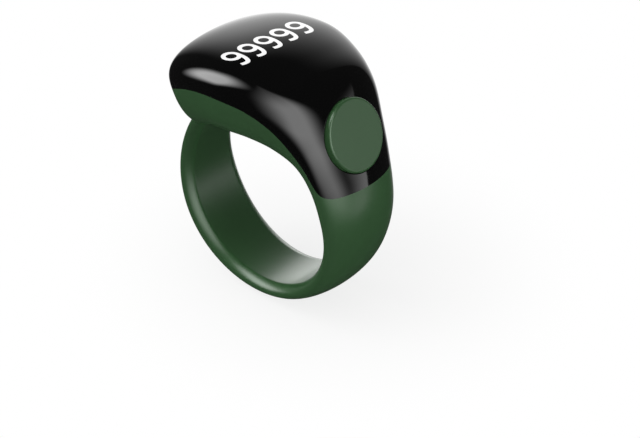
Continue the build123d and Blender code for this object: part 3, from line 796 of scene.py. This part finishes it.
def digit_tree(turn, toward, stretch):
    """Geometry nodes: ribbon along the stroke, repeated in a row and cast on to the cover."""
    tree = bpy.data.node_groups.new("digit_row", "GeometryNodeTree")
    face = tree.interface
    ids = {}
    face.new_socket("Geometry", in_out="INPUT", socket_type="NodeSocketGeometry")
    for name, kind in (
        ("Stroke", "NodeSocketFloat"),
        ("Count", "NodeSocketInt"),
        ("Advance", "NodeSocketVector"),
        ("Start", "NodeSocketVector"),
        ("Lift", "NodeSocketFloat"),
        ("Cover", "NodeSocketObject"),
        ("Material", "NodeSocketMaterial"),
    ):
        ids[name] = face.new_socket(name, in_out="INPUT", socket_type=kind).identifier
    face.new_socket("Geometry", in_out="OUTPUT", socket_type="NodeSocketGeometry")
    new = tree.nodes.new
    link = tree.links.new
    entry = new("NodeGroupInput")
    leave = new("NodeGroupOutput")

    flat = new("GeometryNodeSetCurveNormal")
    flat.mode = "Z_UP"
    fine = new("GeometryNodeResampleCurve")
    fine.mode = "LENGTH"
    fine.inputs["Length"].default_value = 0.05 * MM
    link(entry.outputs["Geometry"], flat.inputs["Curve"])
    link(flat.outputs["Curve"], fine.inputs["Curve"])

    halve = new("ShaderNodeMath")
    halve.operation = "MULTIPLY"
    halve.inputs[1].default_value = 0.5
    link(entry.outputs["Stroke"], halve.inputs[0])
    minus = new("ShaderNodeMath")
    minus.operation = "MULTIPLY"
    minus.inputs[1].default_value = -0.5
    link(entry.outputs["Stroke"], minus.inputs[0])
    one_end = new("ShaderNodeCombineXYZ")
    other_end = new("ShaderNodeCombineXYZ")
    link(halve.outputs[0], one_end.inputs["X"])
    link(minus.outputs[0], other_end.inputs["X"])
    across = new("GeometryNodeCurvePrimitiveLine")
    link(one_end.outputs[0], across.inputs["Start"])
    link(other_end.outputs[0], across.inputs["End"])
    width = new("GeometryNodeResampleCurve")
    width.inputs["Count"].default_value = 5
    link(across.outputs["Curve"], width.inputs["Curve"])
    ribbon = new("GeometryNodeCurveToMesh")
    link(fine.outputs["Curve"], ribbon.inputs["Curve"])
    link(width.outputs["Curve"], ribbon.inputs["Profile Curve"])

    row = new("GeometryNodeMeshLine")
    link(entry.outputs["Count"], row.inputs["Count"])
    link(entry.outputs["Start"], row.inputs["Start Location"])
    link(entry.outputs["Advance"], row.inputs["Offset"])
    copies = new("GeometryNodeInstanceOnPoints")
    copies.inputs["Rotation"].default_value = turn
    copies.inputs["Scale"].default_value = (1.0, stretch, 1.0)
    link(row.outputs["Mesh"], copies.inputs["Points"])
    link(ribbon.outputs["Mesh"], copies.inputs["Instance"])
    real = new("GeometryNodeRealizeInstances")
    link(copies.outputs["Instances"], real.inputs["Geometry"])

    cover = new("GeometryNodeObjectInfo")
    cover.transform_space = "RELATIVE"
    link(entry.outputs["Cover"], cover.inputs["Object"])
    drop = new("GeometryNodeRaycast")
    drop.inputs["Ray Direction"].default_value = -toward
    drop.inputs["Ray Length"].default_value = 0.02
    link(cover.outputs["Geometry"], drop.inputs["Target Geometry"])
    raise_by = new("ShaderNodeVectorMath")
    raise_by.operation = "SCALE"
    link(drop.outputs["Hit Normal"], raise_by.inputs[0])
    link(entry.outputs["Lift"], raise_by.inputs["Scale"])
    above = new("ShaderNodeVectorMath")
    above.operation = "ADD"
    link(drop.outputs["Hit Position"], above.inputs[0])
    link(raise_by.outputs[0], above.inputs[1])
    laid = new("GeometryNodeSetPosition")
    link(real.outputs["Geometry"], laid.inputs["Geometry"])
    link(above.outputs[0], laid.inputs["Position"])
    paint = new("GeometryNodeSetMaterial")
    link(laid.outputs["Geometry"], paint.inputs["Geometry"])
    link(entry.outputs["Material"], paint.inputs["Material"])
    link(paint.outputs["Geometry"], leave.inputs["Geometry"])
    return tree, ids


class COUNTER_OT_digit_row(bpy.types.Operator):
    """Lays the row of lit digits on the cover"""

    bl_idname = "counter.digit_row"
    bl_label = "Digit Row"

    def execute(self, context):
        settings = context.scene.counter_digits
        source = nine_curve(settings)
        context.collection.objects.link(source)
        stage = context.scene.counter_stage
        toward = away(stage.azimuth, stage.elevation)
        across = Vector((0.0, cos(settings.fall_along), -sin(settings.fall_along)))
        upright = Vector((-cos(settings.fall_back), 0.0, -sin(settings.fall_back)))
        upright = (upright - across * upright.dot(across)).normalized()
        facing = across.cross(upright)
        turn = Matrix((across, upright, facing)).transposed().to_euler()
        tree, ids = digit_tree(turn, toward, settings.stretch)
        modifier = source.modifiers.new("digit_row", "NODES")
        modifier.node_group = tree
        wide = settings.slim * settings.height
        run = wide + (settings.count - 1) * settings.advance
        tall = settings.height * settings.stretch
        start = Vector(settings.centre) - across * run / 2 - upright * tall / 2 + toward * 5 * MM
        modifier[ids["Stroke"]] = settings.stroke * settings.height
        modifier[ids["Count"]] = settings.count
        modifier[ids["Advance"]] = across * settings.advance
        modifier[ids["Start"]] = start
        modifier[ids["Lift"]] = settings.lift
        modifier[ids["Cover"]] = bpy.data.objects["cover_shell"]
        modifier[ids["Material"]] = lit_white(settings)
        depsgraph = context.evaluated_depsgraph_get()
        mesh = bpy.data.meshes.new_from_object(source.evaluated_get(depsgraph))
        if not mesh.vertices:
            raise RuntimeError("the digit row is empty")
        source.modifiers.remove(modifier)
        bpy.data.objects.remove(source)
        work = bmesh.new()
        work.from_mesh(mesh)
        if sum(f.normal.z for f in work.faces) < 0:
            bmesh.ops.reverse_faces(work, faces=work.faces)
        bmesh.ops.solidify(work, geom=work.faces, thickness=settings.thickness)
        bmesh.ops.recalc_face_normals(work, faces=work.faces)
        work.to_mesh(mesh)
        work.free()
        digits = bpy.data.objects.new("digit_row", mesh)
        context.collection.objects.link(digits)
        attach(digits, "ring")
        return {"FINISHED"}


def away(azimuth, elevation):
    """Unit direction from the ring towards a place given by two angles in radians."""
    return Vector((sin(azimuth) * cos(elevation), -cos(azimuth) * cos(elevation), sin(elevation)))


class StudioSky:
    """Builds the world's brightness from directions, one soft panel after another."""

    def __init__(self, tree):
        self.tree = tree
        place = tree.nodes.new("ShaderNodeTexCoord")
        self.direction = place.outputs["Generated"]

    def towards(self, vector):
        node = self.tree.nodes.new("ShaderNodeVectorMath")
        node.operation = "DOT_PRODUCT"
        self.tree.links.new(self.direction, node.inputs[0])
        node.inputs[1].default_value = vector
        return node.outputs["Value"]

    def eased(self, value, low, high):
        node = self.tree.nodes.new("ShaderNodeMapRange")
        node.interpolation_type = "SMOOTHSTEP"
        node.inputs["From Min"].default_value = low
        node.inputs["From Max"].default_value = high
        self.tree.links.new(value, node.inputs["Value"])
        return node.outputs["Result"]

    def math(self, operation, first, second):
        node = self.tree.nodes.new("ShaderNodeMath")
        node.operation = operation
        for socket, value in zip(node.inputs, (first, second)):
            if isinstance(value, (int, float)):
                socket.default_value = value
            else:
                self.tree.links.new(value, socket)
        return node.outputs[0]

    def product(self, *values):
        total = values[0]
        for value in values[1:]:
            total = self.math("MULTIPLY", total, value)
        return total

    def total(self, *values):
        result = values[0]
        for value in values[1:]:
            result = self.math("ADD", result, value)
        return result


def studio_world(settings):
    """White for the camera, even light on matt surfaces, and soft panels in the reflections."""
    world = bpy.data.worlds.new("studio")
    world.use_nodes = True
    tree = world.node_tree
    tree.nodes.clear()
    sky = StudioSky(tree)
    side = sky.towards((0.0, 1.0, 0.0))
    front = sky.towards((1.0, 0.0, 0.0))
    up = sky.towards((0.0, 0.0, 1.0))
    turn = sky.math("ARCTAN2", front, sky.math("MULTIPLY", side, -1.0))
    height = sky.math("ARCSINE", up, 0.0)

    def window(value, *degrees_at):
        """Eases up between the first two angles and down between the last two."""
        first, full, fading, last = [radians(a) for a in degrees_at]
        return sky.product(sky.eased(value, first, full), sky.eased(value, last, fading))

    # Oval softbox at the upper left, mirrored in the back of the head
    squares = []
    for direction, size in zip((SOFTBOX_LONG, SOFTBOX_SHORT), SOFTBOX_REACH):
        squares.append(sky.math("POWER", sky.math("DIVIDE", sky.towards(direction), size), 2.0))
    reach = sky.math("SQRT", sky.total(*squares), 0.0)
    facing = sky.eased(sky.towards(SOFTBOX_FROM), 0.1, 0.3)
    softbox = sky.product(sky.eased(reach, 1.5, 0.6), facing, SOFTBOX_LEVEL)
    # Wide soft panel at the right, mirrored in the shoulder
    panel = sky.product(window(turn, *PANEL_TURN), window(height, *PANEL_HEIGHT), PANEL_LEVEL)
    # Hard-edged card that cuts across the tongue beside the button
    edge = sky.towards(EDGE_FACES)
    card = sky.product(
        sky.eased(edge, 0.012, 0.0), sky.eased(edge, -0.38, -0.02), sky.eased(up, -0.4, -0.2),
        sky.eased(up, 0.5, -0.1), sky.eased(front, 0.05, 0.4), EDGE_LEVEL,
    )
    # White backdrop behind the ring, mirrored along the far edge of the cover
    backdrop = sky.product(
        window(turn, *BACKDROP_TURN), window(height, *BACKDROP_HEIGHT), BACKDROP_LEVEL
    )
    shine = sky.total(softbox, panel, card, backdrop, DIM_LEVEL)

    path = tree.nodes.new("ShaderNodeLightPath")
    seen = sky.math("MAXIMUM", path.outputs["Is Glossy Ray"], path.outputs["Is Transmission Ray"])
    plain = tree.nodes.new("ShaderNodeMix")
    plain.data_type = "FLOAT"
    plain.inputs["A"].default_value = settings.ambient
    tree.links.new(seen, plain.inputs["Factor"])
    tree.links.new(shine, plain.inputs["B"])
    level = tree.nodes.new("ShaderNodeMix")
    level.data_type = "FLOAT"
    level.inputs["B"].default_value = 1.0
    tree.links.new(path.outputs["Is Camera Ray"], level.inputs["Factor"])
    tree.links.new(plain.outputs["Result"], level.inputs["A"])
    light = tree.nodes.new("ShaderNodeBackground")
    light.inputs["Color"].default_value = (1.0, 1.0, 1.0, 1.0)
    tree.links.new(level.outputs["Result"], light.inputs["Strength"])
    output = tree.nodes.new("ShaderNodeOutputWorld")
    tree.links.new(light.outputs["Background"], output.inputs["Surface"])
    return world


def floor_material(radius, shade):
    """Pale floor with a painted shade near the ring, whose lit grey also shows the ring's real shadow; it
    fades to white at its rim.
    """
    material = bpy.data.materials.new("pale_floor")
    material.use_nodes = True
    tree = material.node_tree
    tree.nodes.clear()
    output = tree.nodes.new("ShaderNodeOutputMaterial")
    matt = tree.nodes.new("ShaderNodeBsdfDiffuse")
    matt.inputs["Color"].default_value = (FLOOR_GREY, FLOOR_GREY, FLOOR_GREY, 1.0)
    white = tree.nodes.new("ShaderNodeEmission")
    place = tree.nodes.new("ShaderNodeTexCoord")
    reach = tree.nodes.new("ShaderNodeVectorMath")
    reach.operation = "DISTANCE"
    reach.inputs[1].default_value = shade
    tree.links.new(place.outputs["Object"], reach.inputs[0])
    # Painted shade: the floor glows less white near the shade's middle, so it is greyer there even where
    # no shadow falls; the lit grey part also carries the real shadow.
    fade = tree.nodes.new("ShaderNodeMapRange")
    fade.interpolation_type = "SMOOTHSTEP"
    fade.inputs["From Min"].default_value = 0.0
    fade.inputs["From Max"].default_value = radius * SHADE_REACH
    fade.inputs["To Min"].default_value = SHADE_WHITE
    fade.inputs["To Max"].default_value = 1.0
    tree.links.new(reach.outputs["Value"], fade.inputs["Value"])
    path = tree.nodes.new("ShaderNodeLightPath")
    share = tree.nodes.new("ShaderNodeMath")
    share.operation = "MULTIPLY"
    tree.links.new(fade.outputs["Result"], share.inputs[0])
    tree.links.new(path.outputs["Is Camera Ray"], share.inputs[1])
    blend = tree.nodes.new("ShaderNodeMixShader")
    tree.links.new(share.outputs[0], blend.inputs["Fac"])
    tree.links.new(matt.outputs["BSDF"], blend.inputs[1])
    tree.links.new(white.outputs["Emission"], blend.inputs[2])
    tree.links.new(blend.outputs["Shader"], output.inputs["Surface"])
    return material


def lamp(name, direction, distance, size, power):
    """Soft square lamp that lights matt surfaces; its reflection comes from the world's panels."""
    light = bpy.data.lights.new(name, "AREA")
    light.energy = power
    light.size = size
    holder = bpy.data.objects.new(name, light)
    holder.location = direction * distance
    holder.rotation_euler = direction.to_track_quat("Z", "Y").to_euler()
    holder.visible_glossy = False
    bpy.context.collection.objects.link(holder)


def low_card(place, target, width, height, power):
    """White card that stands behind the ring and shows only as a reflection in its bore."""
    light = bpy.data.lights.new("low_card", "AREA")
    light.shape = "RECTANGLE"
    light.size = width
    light.size_y = height
    light.energy = power
    holder = bpy.data.objects.new("low_card", light)
    holder.location = place
    holder.rotation_euler = (place - target).to_track_quat("Z", "Y").to_euler()
    holder.visible_camera = False
    holder.visible_diffuse = False
    bpy.context.collection.objects.link(holder)


class COUNTER_OT_stage(bpy.types.Operator):
    """Sets up the floor, the light and the camera"""

    bl_idname = "counter.stage"
    bl_label = "Stage"

    def execute(self, context):
        settings = context.scene.counter_stage
        scene = context.scene
        scene.view_settings.view_transform = "Standard"
        scene.world = studio_world(settings)

        level = CAD_BOX[0].z
        mesh = bpy.data.meshes.new("floor")
        work = bmesh.new()
        bmesh.ops.create_circle(work, cap_ends=True, segments=128, radius=settings.floor_radius)
        for vertex in work.verts:
            vertex.co.z = level
        work.to_mesh(mesh)
        work.free()
        shade = Vector((*settings.shade, level))
        mesh.materials.append(floor_material(settings.floor_radius, shade))
        floor = bpy.data.objects.new("floor", mesh)
        context.collection.objects.link(floor)
        floor.visible_glossy = False

        lamp("key_lamp", Vector(KEY_FROM), LAMP_DISTANCE, KEY_SIZE, settings.key)
        lamp("fill_lamp", Vector(FILL_FROM), LAMP_DISTANCE, FILL_SIZE, settings.fill)
        low_card(
            Vector(CARD_PLACE) * MM, Vector(CARD_FACES) * MM, CARD_WIDTH * MM, CARD_HEIGHT * MM,
            settings.card,
        )

        camera = bpy.data.cameras.new("camera")
        camera.sensor_width = 36.0
        camera.lens = settings.lens
        camera.shift_x = settings.shift_x
        camera.shift_y = settings.shift_y
        camera.clip_start = 0.01
        holder = bpy.data.objects.new("camera", camera)
        back = away(settings.azimuth, settings.elevation)
        holder.location = back * settings.distance
        holder.rotation_euler = back.to_track_quat("Z", "Y").to_euler()
        context.collection.objects.link(holder)
        scene.camera = holder
        return {"FINISHED"}


class COUNTER_PT_looks(bpy.types.Panel):
    """Settings and steps of the counter ring's looks"""

    bl_idname = "COUNTER_PT_looks"
    bl_label = "Counter Ring"
    bl_space_type = "VIEW_3D"
    bl_region_type = "UI"
    bl_category = "Counter Ring"

    def draw(self, context):
        layout = self.layout
        for group in GROUPS:
            box = layout.box()
            settings = getattr(context.scene, group)
            for name in settings.__annotations__:
                box.prop(settings, name)
        for operator in OPERATORS:
            layout.operator(operator.bl_idname)


GROUPS = {
    "counter_form": CounterForm,
    "counter_body": CounterBodyFinish,
    "counter_cover": CounterCoverFinish,
    "counter_digits": CounterDigits,
    "counter_stage": CounterStage,
}
OPERATORS = (
    COUNTER_OT_green_pieces,
    COUNTER_OT_gloss_cover,
    COUNTER_OT_inside_pieces,
    COUNTER_OT_snap_dome,
    COUNTER_OT_digit_row,
    COUNTER_OT_stage,
)


def register():
    for name, group in GROUPS.items():
        bpy.utils.register_class(group)
        setattr(bpy.types.Scene, name, PointerProperty(type=group))
    for operator in OPERATORS:
        bpy.utils.register_class(operator)
    bpy.utils.register_class(COUNTER_PT_looks)


def unregister():
    bpy.utils.unregister_class(COUNTER_PT_looks)
    for operator in reversed(OPERATORS):
        bpy.utils.unregister_class(operator)
    for name, group in GROUPS.items():
        delattr(bpy.types.Scene, name)
        bpy.utils.unregister_class(group)


def main():
    register()
    bpy.ops.counter.green_pieces()
    bpy.ops.counter.gloss_cover()
    bpy.ops.counter.inside_pieces()
    bpy.ops.counter.snap_dome()
    bpy.ops.counter.digit_row()
    bpy.ops.counter.stage()


if __name__ == "__main__":
    main()
